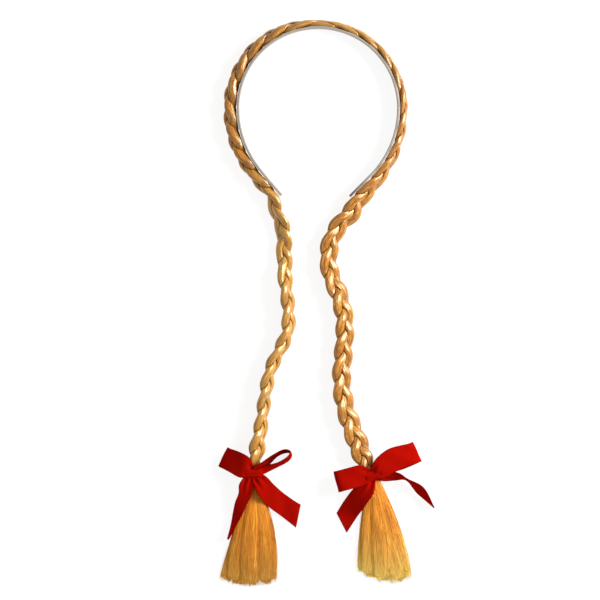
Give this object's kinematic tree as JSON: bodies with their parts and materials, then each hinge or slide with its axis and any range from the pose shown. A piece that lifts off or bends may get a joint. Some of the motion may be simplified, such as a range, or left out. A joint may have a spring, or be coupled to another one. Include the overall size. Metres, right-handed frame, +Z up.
{
  "type": "braided hair headband",
  "caption": "Thin horseshoe headband with a plaited synthetic hair braid along its outside that runs on as pigtails tied with red ribbon bows above loose tassels.",
  "frame": {"origin": "on the surface it lies on, under the middle of its bounding box", "axes": "+Y along the pigtails towards the crown of the band, +X to the right seen from above, +Z up"},
  "size_m": [0.1738, 0.4528, 0.0172],
  "materials": {
    "band": "smooth off-white moulded plastic",
    "hair": "glossy golden synthetic hair, streaked along its length",
    "ribbon": "red satin ribbon"
  },
  "bodies": {
    "root": {"head_band": "band", "braid_strand_1": "hair", "braid_strand_2": "hair", "braid_strand_3": "hair", "left_bow": "ribbon", "right_bow": "ribbon", "left_tassel": "hair", "right_tassel": "hair"}
  },
  "joints": []
}
